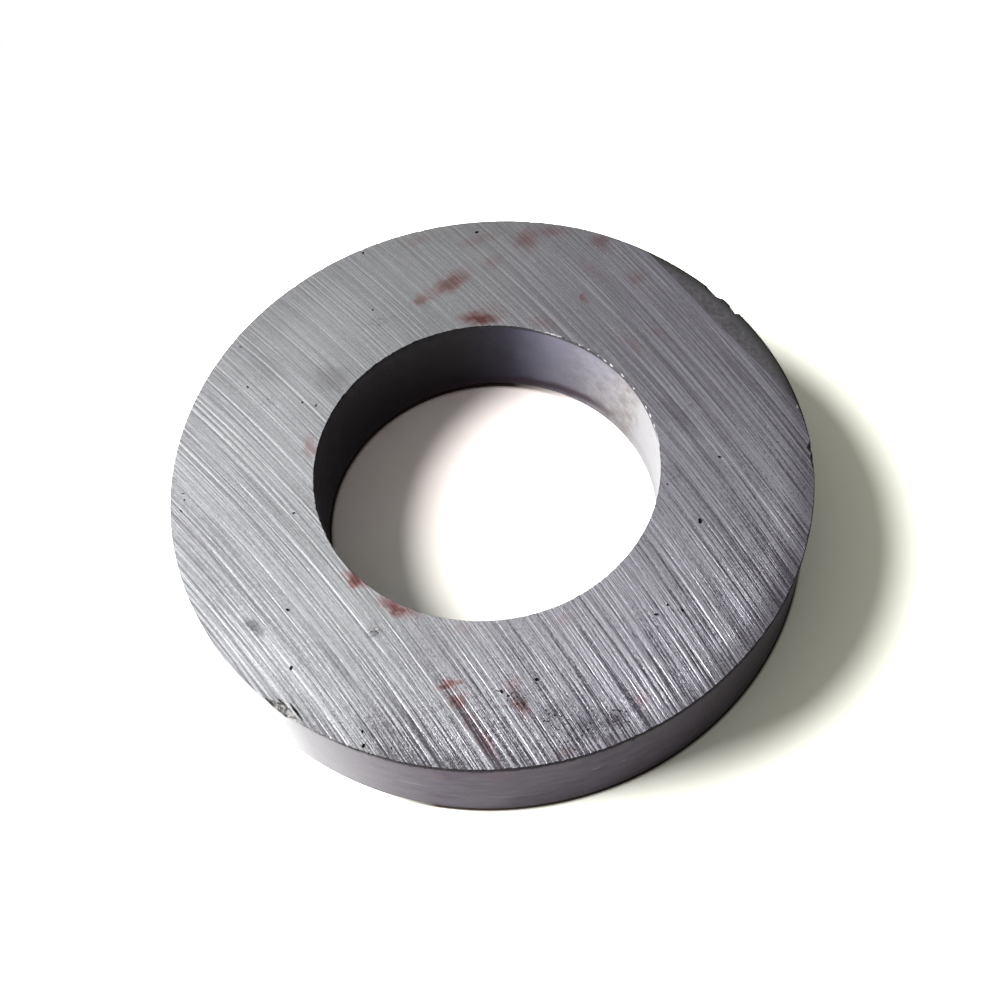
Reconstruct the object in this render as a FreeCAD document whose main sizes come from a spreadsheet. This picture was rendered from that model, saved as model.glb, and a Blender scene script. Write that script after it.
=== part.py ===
import FreeCAD, Part
import math
import os
import Sketcher

# Ferrite ring magnet: one pressed and sintered ring whose two faces are ground flat.
# The model follows the way the ring is made. The fired blank is a revolved section with rounded
# edges, and it lies low at one side of the rim. Two grinding cuts bring it to its height and leave
# sharp edges, apart from the low spot, which the wheel never touched. Shell-shaped chips are
# broken out of the brittle rim last.
# Millimetres, +Z up, origin on the ring's axis at the ground underside.

NODE = "ferrite_ring"

SIZES = [
    ("outer_diameter", 60.0, "across the rim"),
    ("bore_diameter", 32.5, "across the bore"),
    ("thickness", 10.2, "between the two ground faces"),
    ("rim_edge_radius", 0.45, "round that pressing gives the blank's outer edges"),
    ("bore_edge_radius", 0.9, "round that pressing gives the blank's bore edges"),
    ("underside_skim", 0.1, "ground off the blank's underside, less than its edge radii"),
    ("low_spot_azimuth", 27.3, "degrees from +X to the middle of the low spot"),
    ("low_spot_width", 2.7, "from the rim in to the ground face, at the middle"),
    ("low_spot_depth", 0.2, "below the ground face, at the rim"),
]

# Chips in the top edge of the rim: how many degrees from +X each lies, then its scar's length
# along the rim, its width across the top face and its depth down the side.
RIM_CHIPS = [
    {"chip": "flake", "azimuth": 228.3, "length": 4.2, "width": 0.55, "depth": 1.0},
    {"chip": "notch", "azimuth": 354.8, "length": 1.3, "width": 0.45, "depth": 0.5},
    {"chip": "notch_tail", "azimuth": 351.9, "length": 2.2, "width": 0.3, "depth": 0.35},
    {"chip": "low_nick", "azimuth": 34.0, "length": 3.0, "width": 0.72, "depth": 0.95},
    {"chip": "low_nick_end", "azimuth": 28.8, "length": 2.2, "width": 0.66, "depth": 0.9},
]

# A scar is where an ellipsoid dips below the edge. Its centre stands off from the edge, outward
# and upward, by this share of its half widths, so the scar runs out at a shallow angle.
STAND_OFF = 0.5
REACH = math.sqrt(1 - STAND_OFF ** 2) - STAND_OFF
EDGE_SPAN = math.sqrt(1 - 2 * STAND_OFF ** 2)

# How a sketch counts the points of a line, arc or circle, and where its own origin is.
START, END, CENTRE = range(1, 4)
ROOT = (-1, START)

vector = FreeCAD.Vector
doc = FreeCAD.newDocument("ferrite_ring_magnet")
body = doc.addObject("PartDesign::Body", NODE)
body.Label = NODE
body.Placement = FreeCAD.Placement()


def fill_sheet():
    """The spreadsheet of driving sizes, one row each: name, value, meaning."""
    rows = list(SIZES)
    for scar in RIM_CHIPS:
        chip = scar["chip"]
        rows.append((chip + "_azimuth", scar["azimuth"], "degrees from +X to the chip's middle"))
        rows.append((chip + "_length", scar["length"], "of the scar, along the rim"))
        rows.append((chip + "_width", scar["width"], "of the scar, across the top face"))
        rows.append((chip + "_depth", scar["depth"], "of the scar, down the side"))
    sheet = doc.addObject("Spreadsheet::Sheet", "sizes")
    for row, (alias, value, meaning) in enumerate(rows, start=1):
        sheet.set("A%d" % row, alias)
        sheet.set("B%d" % row, "%g" % value)
        sheet.set("C%d" % row, meaning)
        sheet.setAlias("B%d" % row, alias)
    doc.recompute()


def size(name):
    """A driving size, for drawing a sketch near to where its constraints then hold it."""
    return doc.getObject("sizes").get(name)


def plane_sketch(role, name):
    """A sketch flat on one of the body's own origin planes."""
    plane = next(f for f in body.Origin.OriginFeatures if f.Role == role)
    sketch = body.newObject("Sketcher::SketchObject", name)
    sketch.AttachmentSupport = [(plane, "")]
    sketch.MapMode = "FlatFace"
    return sketch


def bind(sketch, name, constraint, expression):
    """Add one named constraint and drive it from the sheet."""
    index = sketch.addConstraint(constraint)
    sketch.renameConstraint(index, name)
    sketch.setExpression("Constraints." + name, expression)


def bind_point(sketch, name, geometry, point, across, up):
    """Place one point of a section at a distance across and up from the sketch's origin."""
    at = sketch.getPoint(geometry, point)
    bind(sketch, name + "_across",
         Sketcher.Constraint("DistanceX", *ROOT, geometry, point, at.x), across)
    bind(sketch, name + "_up",
         Sketcher.Constraint("DistanceY", *ROOT, geometry, point, at.y), up)


def finish_cut(before, cut):
    """Recompute a cut. One that misses the solid shows no error, so its volume is compared."""
    doc.recompute()
    if cut.Shape.Volume > before.Shape.Volume - 1e-4:
        raise RuntimeError(cut.Label + " removed nothing")
    return cut


def fired_blank():
    """The blank: a rectangle section with rounded lower edges, revolved about the axis.

    Its top stands one bore edge radius above the finished height, for the wheel to take off."""
    sketch = plane_sketch("XZ_Plane", "blank_section")
    inner = size("bore_diameter") / 2
    outer = size("outer_diameter") / 2
    low = -size("underside_skim")
    high = size("thickness") + size("bore_edge_radius")
    edge = size("rim_edge_radius")
    middle = edge * (1 - math.sqrt(0.5))
    line = Part.LineSegment
    top = sketch.addGeometry(line(vector(inner, high), vector(outer, high)))
    rim = sketch.addGeometry(line(vector(outer, high), vector(outer, low + edge)))
    rim_round = sketch.addGeometry(Part.Arc(vector(outer - edge, low),
                                            vector(outer - middle, low + middle),
                                            vector(outer, low + edge)))
    base = sketch.addGeometry(line(vector(outer - edge, low), vector(inner + edge, low)))
    bore_round = sketch.addGeometry(Part.Arc(vector(inner, low + edge),
                                             vector(inner + middle, low + middle),
                                             vector(inner + edge, low)))
    bore = sketch.addGeometry(line(vector(inner, low + edge), vector(inner, high)))
    sketch.addConstraint([
        Sketcher.Constraint("Coincident", top, END, rim, START),
        Sketcher.Constraint("Coincident", bore, END, top, START),
        Sketcher.Constraint("Tangent", rim, END, rim_round, END),
        Sketcher.Constraint("Tangent", rim_round, START, base, START),
        Sketcher.Constraint("Tangent", base, END, bore_round, END),
        Sketcher.Constraint("Tangent", bore_round, START, bore, START),
        Sketcher.Constraint("Horizontal", top),
        Sketcher.Constraint("Horizontal", base),
        Sketcher.Constraint("Vertical", rim),
        Sketcher.Constraint("Vertical", bore),
    ])
    bind(sketch, "bore_radius", Sketcher.Constraint("DistanceX", *ROOT, bore, END, inner),
         "sizes.bore_diameter / 2")
    bind_point(sketch, "top_corner", rim, START, "sizes.outer_diameter / 2",
               "sizes.thickness + sizes.bore_edge_radius")
    bind(sketch, "skim", Sketcher.Constraint("DistanceY", base, END, *ROOT, -low),
         "sizes.underside_skim")
    bind(sketch, "rim_edge", Sketcher.Constraint("Radius", rim_round, edge), "sizes.rim_edge_radius")
    bind(sketch, "bore_edge", Sketcher.Constraint("Radius", bore_round, edge), "sizes.bore_edge_radius")
    blank = body.newObject("PartDesign::Revolution", "blank")
    blank.Profile = sketch
    blank.ReferenceAxis = (sketch, ["V_Axis"])
    blank.Angle = 360
    doc.recompute()
    return blank


def low_spot(blank):
    """Where the blank fired low: a tilted plane across the rim, its outer edge rounded.

    The triangle's sloping side lies low_spot_width in from the rim at the finished height, and
    low_spot_depth under that height at the rim. It runs on past both, clear of the blank."""
    sketch = plane_sketch("XZ_Plane", "low_spot_section")
    turn = FreeCAD.Rotation(vector(0, 1, 0), size("low_spot_azimuth"))
    sketch.AttachmentOffset = FreeCAD.Placement(vector(), turn)
    sketch.setExpression("AttachmentOffset.Rotation.Angle", "sizes.low_spot_azimuth")
    inner = size("bore_diameter") / 2
    outer = size("outer_diameter")
    low = size("thickness") / 2
    high = size("thickness") * 2
    line = Part.LineSegment
    slope = sketch.addGeometry(line(vector(inner, high), vector(outer, low)))
    side = sketch.addGeometry(line(vector(outer, low), vector(outer, high)))
    roof = sketch.addGeometry(line(vector(outer, high), vector(inner, high)))
    sketch.addConstraint([
        Sketcher.Constraint("Coincident", slope, END, side, START),
        Sketcher.Constraint("Coincident", side, END, roof, START),
        Sketcher.Constraint("Coincident", roof, END, slope, START),
        Sketcher.Constraint("Vertical", side),
        Sketcher.Constraint("Horizontal", roof),
    ])
    rise = "2 * sizes.bore_edge_radius"
    bind_point(sketch, "inner_end", slope, START,
               "sizes.outer_diameter / 2 - sizes.low_spot_width * (1 + %s / sizes.low_spot_depth)" % rise,
               "sizes.thickness + " + rise)
    bind_point(sketch, "outer_end", slope, END, "sizes.outer_diameter / 2 + sizes.low_spot_width",
               "sizes.thickness - 2 * sizes.low_spot_depth")
    cut = body.newObject("PartDesign::Pocket", "low_spot")
    cut.Profile = sketch
    cut.Midplane = True
    cut.setExpression("Length", "sizes.outer_diameter")
    finish_cut(blank, cut)
    rim_edges = ["Edge%d" % number for number, edge in enumerate(cut.Shape.Edges, start=1)
                 if isinstance(edge.Curve, Part.Ellipse)]
    rounded = body.newObject("PartDesign::Fillet", "low_spot_edge")
    rounded.Base = (cut, rim_edges)
    rounded.setExpression("Radius", "sizes.rim_edge_radius")
    return finish_cut(cut, rounded)


def ground_face(before, name, height, upward):
    """A grinding cut: everything past a level plane goes."""
    sketch = plane_sketch("XY_Plane", name + "_sweep")
    sketch.setExpression("AttachmentOffset.Base.z", height)
    reach = size("outer_diameter")
    wheel = sketch.addGeometry(Part.Circle(vector(), vector(0, 0, 1), reach))
    sketch.addConstraint(Sketcher.Constraint("Coincident", wheel, CENTRE, *ROOT))
    bind(sketch, "reach", Sketcher.Constraint("Radius", wheel, reach), "sizes.outer_diameter")
    cut = body.newObject("PartDesign::Pocket", name)
    cut.Profile = sketch
    cut.Type = "ThroughAll"
    cut.Reversed = upward
    return finish_cut(before, cut)


def rim_chip(before, chip):
    """A shell-shaped scar in the top edge of the rim, from its four sizes in the sheet."""
    size = "sizes." + chip
    across = "%s_width / %.6f" % (size, REACH)
    down = "%s_depth / %.6f" % (size, REACH)
    along = "%s_length / %.6f" % (size, 2 * EDGE_SPAN)
    out = "(sizes.outer_diameter / 2 + %.2f * %s)" % (STAND_OFF, across)
    scar = body.newObject("PartDesign::SubtractiveEllipsoid", chip)
    scar.setExpression("Radius1", down)
    scar.setExpression("Radius2", across)
    scar.setExpression("Radius3", along)
    scar.setExpression("Placement.Rotation.Angle", size + "_azimuth")
    scar.setExpression("Placement.Base.x", "%s * cos(%s_azimuth)" % (out, size))
    scar.setExpression("Placement.Base.y", "%s * sin(%s_azimuth)" % (out, size))
    scar.setExpression("Placement.Base.z", "sizes.thickness + %.2f * %s" % (STAND_OFF, down))
    return finish_cut(before, scar)


def check_document():
    """Every object computed, and the finished body one valid solid."""
    for item in doc.Objects:
        if "Invalid" in item.State or "Error" in item.State:
            raise RuntimeError(item.Label + " failed")
    if body.Shape.isNull() or not body.Shape.isValid() or len(body.Shape.Solids) != 1:
        raise RuntimeError(body.Label + " is not one valid solid")


fill_sheet()
ring = low_spot(fired_blank())
ring = ground_face(ring, "ground_top", "sizes.thickness", True)
ring = ground_face(ring, "ground_underside", "0", False)
for scar in RIM_CHIPS:
    ring = rim_chip(ring, scar["chip"])
body.Tip = ring
doc.recompute()
check_document()

os.makedirs("parts", exist_ok=True)
body.Shape.exportStep(os.path.join("parts", NODE + ".step"))
box = body.Shape.BoundBox
print("%s: %.1f mm3, %.3f x %.3f x %.3f mm, base at z %.3f"
      % (body.Label, body.Shape.Volume, box.XLength, box.YLength, box.ZLength, box.ZMin))
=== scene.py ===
"""The ferrite ring magnet as it looks: a fired ring whose two flat faces are ground.

The ring is made the way the real one is. A blank is pressed and fired, the wheel takes its top
off and leaves its marks, and the knocks and pores are taken out last.
Lengths are in millimetres until the mesh is written, which is in metres.
"""
import math

import bmesh
import bpy
import numpy as np
from mathutils import Euler, Matrix, Vector, noise


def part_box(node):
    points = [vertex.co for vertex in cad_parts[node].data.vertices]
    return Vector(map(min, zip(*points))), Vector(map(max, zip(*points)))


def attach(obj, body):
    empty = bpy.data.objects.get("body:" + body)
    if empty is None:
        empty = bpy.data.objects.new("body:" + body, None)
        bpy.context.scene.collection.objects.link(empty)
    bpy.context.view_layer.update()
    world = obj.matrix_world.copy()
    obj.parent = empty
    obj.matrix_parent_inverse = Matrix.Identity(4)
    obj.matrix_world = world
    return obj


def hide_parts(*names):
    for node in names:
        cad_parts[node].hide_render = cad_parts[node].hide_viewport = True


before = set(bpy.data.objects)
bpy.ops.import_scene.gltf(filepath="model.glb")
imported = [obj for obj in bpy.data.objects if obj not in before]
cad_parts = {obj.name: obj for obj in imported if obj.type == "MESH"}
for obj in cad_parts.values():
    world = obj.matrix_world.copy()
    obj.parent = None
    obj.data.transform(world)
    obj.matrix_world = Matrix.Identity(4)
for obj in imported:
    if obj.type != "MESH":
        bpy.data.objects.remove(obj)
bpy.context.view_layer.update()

MM = 0.001
_, node_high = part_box("ferrite_ring")

# the dressed ring is kept a hair inside the solid
HAIR = 0.001
OUTER = node_high.x / MM - HAIR
BORE = 16.25
HEIGHT = node_high.z / MM
RIM_ROUND = 0.45
BORE_ROUND = 0.9
SKIM = 0.1
LOW_AZIMUTH = 27.3
LOW_WIDTH = 2.7
LOW_DEPTH = 0.2
STEPS = 1080
TOO_TALL = 0.6
# radii between the bore and the rim that tell one wall from the other
HALF_WAY = 20.0
MIDDLE = 23.0

# the wheel's marks are arcs of this radius, with their centre this far to the side
WHEEL = 210.9
WHEEL_OFFSET = 105.9
MARK_TURN = math.radians(-30.41)
MARK_PITCH = 0.08
MARK_STEP = 0.6

GROUND = 0
FIRED = 1
BROKEN = 2


def around(azimuth, radius, height):
    """The point at that azimuth in degrees, radius and height, in millimetres."""
    a = math.radians(azimuth)
    return Vector((radius * math.cos(a), radius * math.sin(a), height))


def rough(point, size, seed):
    """Smooth noise from -1 to 1 with features about size across."""
    return noise.noise(Vector(point) / size + Vector((seed * 7.3, seed * 3.1, seed * 5.7)))


LIT_BORE_EDGE = 32
NEAR_BORE_EDGE = 245
FRONT_RIM_EDGE = 292


def turn_between(one, other):
    """The angle between two azimuths, from 0 to 180 degrees."""
    return abs((one - other + 180) % 360 - 180)


def edge_wear(azimuth, radius, seed):
    """How far the ground edge has crumbled back at that azimuth."""
    p = around(azimuth, radius, 0)
    fine = rough(p, 0.55, seed) * 0.6 + rough(p, 0.25, seed + 1) * 0.5
    broad = rough(p, 6.0, seed + 2)
    usual = max(0.02, 0.06 + 0.03 * broad + 0.06 * fine)
    if radius < HALF_WAY:
        lit = (38 - turn_between(azimuth, LIT_BORE_EDGE)) / 8
        near = (60 - turn_between(azimuth, NEAR_BORE_EDGE)) / 15
        return usual + (0.07 + 0.06 * fine) * min(1, max(0, lit, near))
    front = (67 - turn_between(azimuth, FRONT_RIM_EDGE)) / 18
    return usual + (0.13 + 0.08 * fine) * min(1, max(0, front))


def low_plane(along):
    """Height of the low spot's slope, at a distance from the axis along its own azimuth."""
    return HEIGHT - LOW_DEPTH * (along - (OUTER - LOW_WIDTH)) / LOW_WIDTH


ROUND_CUTS = 5
RIM_FOOT_CUTS = 3
BORE_FOOT_CUTS = 4
WALL_HEIGHTS = (2.6, 4.9, 7.2)


def blank_stations():
    """The blank's outline from the underside up the rim, over the top and down the bore."""
    rim_low = math.asin((RIM_ROUND - SKIM) / RIM_ROUND)
    bore_low = math.asin((BORE_ROUND - SKIM) / BORE_ROUND)
    stations = []
    for k in range(RIM_FOOT_CUTS + 1):
        turn = rim_low * (1 - k / RIM_FOOT_CUTS)
        stations.append((OUTER - RIM_ROUND + RIM_ROUND * math.cos(turn),
                         RIM_ROUND - SKIM - RIM_ROUND * math.sin(turn)))
    stations += [(OUTER, z) for z in WALL_HEIGHTS]
    stations += [(OUTER, HEIGHT)] * (ROUND_CUTS + 1)
    stations += [(24.0, HEIGHT + TOO_TALL), (BORE + 1.0, HEIGHT + TOO_TALL)]
    stations += [(BORE, HEIGHT)] * (ROUND_CUTS + 1)
    stations += [(BORE, z) for z in reversed(WALL_HEIGHTS)]
    for k in range(BORE_FOOT_CUTS + 1):
        turn = bore_low * k / BORE_FOOT_CUTS
        stations.append((BORE + BORE_ROUND - BORE_ROUND * math.cos(turn),
                         BORE_ROUND - SKIM - BORE_ROUND * math.sin(turn)))
    return stations


FIRST_RIM_CUT = RIM_FOOT_CUTS + 1 + len(WALL_HEIGHTS)
CROWN = FIRST_RIM_CUT + ROUND_CUTS + 1
FIRST_BORE_CUT = CROWN + 2
# a worn edge's width for its depth, and the height over which the blank's round runs out
WORN_WIDTH = 1.25
RUN_OUT = 0.12


def shaped(station, azimuth, radius, height):
    """Where a station's point lies at that azimuth: the rounds, the low spot and the worn edges."""
    off = math.radians(azimuth - LOW_AZIMUTH)
    if FIRST_RIM_CUT <= station <= FIRST_RIM_CUT + ROUND_CUTS:
        wear = edge_wear(azimuth, OUTER, 1)
        centre = low_plane((OUTER - RIM_ROUND) * math.cos(off)) - RIM_ROUND
        round_left = min(1, max(0, (HEIGHT - wear - centre) / RUN_OUT))
        size = WORN_WIDTH * wear + (RIM_ROUND - WORN_WIDTH * wear) * round_left
        centre = min(centre, HEIGHT - wear)
        turn = math.pi / 2 * (station - FIRST_RIM_CUT) / ROUND_CUTS
        return OUTER - size + size * math.cos(turn), centre + size * math.sin(turn)
    if station == CROWN:
        return radius, min(HEIGHT + TOO_TALL, low_plane(radius * math.cos(off)))
    if FIRST_BORE_CUT <= station <= FIRST_BORE_CUT + ROUND_CUTS:
        wear = edge_wear(azimuth, BORE, 5)
        size = WORN_WIDTH * wear
        turn = math.pi / 2 * (1 - (station - FIRST_BORE_CUT) / ROUND_CUTS)
        return BORE + size * (1 - math.cos(turn)), HEIGHT - wear + size * math.sin(turn)
    return radius, height


# the stations are kept this far apart until they are placed
NUDGE = 0.001
SKIN_DEPTH = 0.012
WALL_FOOT = 0.1
EDGE_BAND = 0.2
LOW_REACH = 30


def fired_blank():
    """The pressed and fired ring, left a little too tall for grinding."""
    bm = bmesh.new()
    number = bm.verts.layers.int.new("station")
    stations = blank_stations()
    ring = []
    for k, (radius, height) in enumerate(stations):
        v = bm.verts.new((radius + NUDGE * k, 0, height + NUDGE * k))
        v[number] = k
        ring.append(v)
    edges = [bm.edges.new((ring[k], ring[(k + 1) % len(ring)])) for k in range(len(ring))]
    bmesh.ops.spin(bm, geom=ring + edges, axis=(0, 0, 1), cent=(0, 0, 0), angle=math.tau,
                   steps=STEPS, use_merge=True)
    for v in bm.verts:
        azimuth = math.degrees(math.atan2(v.co.y, v.co.x))
        radius, height = stations[v[number]]
        radius, height = shaped(v[number], azimuth, radius, height)
        if WALL_FOOT < height < HEIGHT - EDGE_BAND:
            skin = SKIN_DEPTH * (1 + rough(around(azimuth, radius, height * 2), 5.0, 9))
            radius += skin if radius < HALF_WAY else -skin
        v.co = around(azimuth, radius, height)
    bmesh.ops.recalc_face_normals(bm, faces=bm.faces)
    for f in bm.faces:
        middle = f.calc_center_median()
        azimuth = math.degrees(math.atan2(middle.y, middle.x))
        edge = all(v.co.z > HEIGHT - EDGE_BAND for v in f.verts)
        edge = edge and turn_between(azimuth, LOW_AZIMUTH) > LOW_REACH
        flat = all(v.co.z < HAIR for v in f.verts)
        f.material_index = GROUND if flat else BROKEN if edge else FIRED
    return bm


# half the width in rows, the number, the greatest depth and the greatest length of the marks
GROOVES = ((1, 900, 0.014, 30), (2, 260, 0.018, 45), (6, 60, 0.006, 60))


def mark_depths(rows, columns):
    """Depth of the wheel's marks on a table of arcs by places along them, from seeded chance."""
    chance = np.random.default_rng(11)
    depth = np.zeros((rows, columns))
    for width, count, deepest, longest in GROOVES:
        for _ in range(count):
            row = chance.integers(0, rows)
            middle = chance.uniform(0, columns)
            half = chance.uniform(5, longest) / MARK_STEP / 2
            deep = deepest * chance.uniform(0.3, 1)
            along = np.clip((half - np.abs(np.arange(columns) - middle)) / 4, 0, 1)
            for r in range(max(0, row - width), min(rows, row + width)):
                across = 1 - abs(r - row + 0.5) / (width + 0.5)
                depth[r] = np.maximum(depth[r], deep * along * across)
    wander = chance.uniform(0, 0.0025, (rows, 1)) + chance.uniform(0, 0.001, (rows, columns))
    return depth + wander


# the first and the last mark, by their distance across from the middle of the arcs
FIRST_MARK = -219.5
LAST_MARK = -145.0
PAST_RIM = 1.2
SLAB = 6


def wheel_cut():
    """The slab the wheel grinds away, with its marks on the underside."""
    reach = OUTER + PAST_RIM
    rows = int((LAST_MARK - FIRST_MARK) / MARK_PITCH)
    columns = int(2 * reach / MARK_STEP)
    depth = mark_depths(rows + 1, columns + 1)
    bm = bmesh.new()
    bmesh.ops.create_grid(bm, x_segments=rows, y_segments=columns, size=0.5)
    away = []
    for v in bm.verts:
        row, column = round((v.co.x + 0.5) * rows), round((v.co.y + 0.5) * columns)
        mark = FIRST_MARK + (v.co.x + 0.5) * (LAST_MARK - FIRST_MARK)
        s = v.co.y * 2 * reach
        t = mark + math.sqrt(WHEEL ** 2 - (s + WHEEL_OFFSET) ** 2)
        x = s * math.cos(MARK_TURN) - t * math.sin(MARK_TURN)
        y = s * math.sin(MARK_TURN) + t * math.cos(MARK_TURN)
        v.co = (x, y, HEIGHT - depth[row, column])
        if math.hypot(x, y) > reach:
            away.append(v)
    bmesh.ops.delete(bm, geom=away, context="VERTS")
    raised = bmesh.ops.extrude_face_region(bm, geom=bm.faces[:])["geom"]
    for v in raised:
        if isinstance(v, bmesh.types.BMVert):
            v.co.z = HEIGHT + SLAB
    bmesh.ops.recalc_face_normals(bm, faces=bm.faces)
    for f in bm.faces:
        f.material_index = GROUND
    return bm


def lump(bm, centre, turn, half, seed, fineness=3, roughness=0.18):
    """One piece broken out: a rough ellipsoid turned about the axis."""
    made = bmesh.ops.create_icosphere(bm, subdivisions=fineness, radius=1)["verts"]
    spin = Matrix.Rotation(math.radians(turn), 3, "Z")
    for v in made:
        grow = 1 + roughness * (rough(v.co, 0.6, seed) + 0.6 * rough(v.co, 0.25, seed + 1))
        stretched = Vector((v.co.x * half[0], v.co.y * half[1], v.co.z * half[2]))
        v.co = Vector(centre) + spin @ stretched * grow


RIM_CHIPS = (
    dict(azimuth=228.3, length=4.2, width=0.55, depth=1.0, old=False),
    dict(azimuth=354.8, length=1.3, width=0.45, depth=0.5, old=False),
    dict(azimuth=351.9, length=2.2, width=0.3, depth=0.35, old=False),
    dict(azimuth=34.0, length=3.0, width=0.72, depth=0.95, old=True),
    dict(azimuth=28.8, length=2.2, width=0.66, depth=0.9, old=True),
)
# a chip's lump stands off the edge by this share of its size, outward and up, which leaves these
# shares of it inside the edge and along the edge
STAND_OFF = 0.5
CHIP_REACH = math.sqrt(1 - STAND_OFF ** 2) - STAND_OFF
EDGE_SPAN = math.sqrt(0.5)
LONG_CHIP = 4


def rim_chip(chip, seed):
    """A shell-shaped chip at the top of the rim, as long, wide and deep as given."""
    bm = bmesh.new()
    out = chip["width"] / CHIP_REACH
    down = chip["depth"] / CHIP_REACH
    tangent = chip["length"] / (2 * EDGE_SPAN)
    centre = around(chip["azimuth"], OUTER + STAND_OFF * out, HEIGHT + STAND_OFF * down)
    jagged = 0.14 if chip["length"] > LONG_CHIP else 0.08
    lump(bm, centre, chip["azimuth"], (out, tangent, down), seed, fineness=5, roughness=jagged)
    for f in bm.faces:
        f.material_index = FIRED if chip["old"] else BROKEN
    return bm


KNOCKS = 90


def small_knocks():
    """The crumbs lost along both edges of the top face, each clear of the next."""
    chance = np.random.default_rng(23)
    bm = bmesh.new()
    for radius, inward in ((OUTER, 1), (BORE, -1)):
        for k in range(KNOCKS):
            azimuth = 360 / KNOCKS * (k + chance.uniform(0.2, 0.8))
            length = chance.uniform(0.12, 0.5)
            width = chance.uniform(0.05, 0.16)
            centre = around(azimuth, radius + inward * 0.3 * width, HEIGHT + 0.02)
            half = (width, length, chance.uniform(0.06, 0.2))
            lump(bm, centre, azimuth, half, 40 + k, fineness=2, roughness=0.3)
    for f in bm.faces:
        f.material_index = BROKEN
    return bm


# x, y, size and depth of each pit
PITS = (
    (2.2, 28.5, 0.22, 0.3), (-9.8, 27.8, 0.16, 0.2), (-22.9, 17.6, 0.18, 0.2), (-22.3, 12.5, 0.16, 0.2),
    (-20.3, 10.7, 0.12, 0.1), (-16.9, 9.8, 0.16, 0.2), (-15.6, 9.2, 0.14, 0.2), (-9.3, 20.1, 0.14, 0.1),
    (-28.7, 1.0, 0.14, 0.2), (-28.6, 0.3, 0.13, 0.2), (-28.9, -0.9, 0.16, 0.2), (-18.2, -2.7, 0.16, 0.2),
    (-19.1, -12.7, 0.2, 0.25), (-19.0, -18.4, 0.24, 0.3), (-13.1, -25.1, 0.16, 0.2),
    (-13.1, -26.4, 0.22, 0.2), (18.5, -8.9, 0.3, 0.3), (15.4, -17.5, 0.2, 0.25), (14.2, -16.8, 0.13, 0.1),
    (13.1, -17.6, 0.2, 0.2), (2.1, -22.3, 0.22, 0.25), (-1.0, -23.0, 0.2, 0.2), (21.5, -2.5, 0.2, 0.15),
    (16.3, -4.7, 0.13, 0.15),
)
PIT_SCALE = 0.8
# x, y, spread and number of pores of each crumbly patch
POROUS = (
    (5.4, -27.1, 1.5, 26), (8.3, -26.4, 1.1, 14), (3.3, -25.8, 1.3, 14), (4.3, -28.4, 0.9, 8),
    (0.3, -24.0, 1.3, 18), (-8.0, -28.6, 0.7, 8), (-10.8, -27.6, 0.6, 6), (-5.5, -29.1, 0.5, 6),
)
# x, y, half the length, half the width, depth and turn of each crack
CRACKS = (
    (-19.87, -21.6, 0.8, 0.09, 0.3, -49), (-18.68, -22.6, 0.95, 0.12, 0.35, -58),
    (-1.3, -22.9, 0.2, 0.06, 0.1, -35),
)


def pores():
    """The pits in the ground face and the crumbly patches near the front, each clear of the next."""
    chance = np.random.default_rng(31)
    bm = bmesh.new()
    taken = []
    for x, y, long, wide, deep, turn in CRACKS:
        taken.append((x, y, 0.6 * long))
        half = (long, wide, deep)
        lump(bm, (x, y, HEIGHT), turn, half, 90 + len(taken), fineness=3, roughness=0.5)
    for x, y, size, deep in PITS:
        size *= PIT_SCALE
        taken.append((x, y, size))
        turn = math.degrees(MARK_TURN) - 30 + chance.uniform(-70, 70)
        half = (size * 1.3, size * 0.8, deep)
        lump(bm, (x, y, HEIGHT), turn, half, len(taken), fineness=2, roughness=0.3)
    for x, y, spread, count in POROUS:
        for _ in range(count):
            px, py = x + chance.normal(0, spread / 2), y + chance.normal(0, spread / 3)
            size = chance.uniform(0.035, 0.1)
            clear = all(math.hypot(px - a, py - b) > (size + c) * 1.9 for a, b, c in taken)
            if clear and math.hypot(px, py) < OUTER - 0.5:
                taken.append((px, py, size))
                turn = chance.uniform(0, 180)
                half = (size * 1.8, size, size)
                lump(bm, (px, py, HEIGHT), turn, half, len(taken), fineness=1, roughness=0.4)
    for f in bm.faces:
        f.material_index = BROKEN
    return bm


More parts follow.
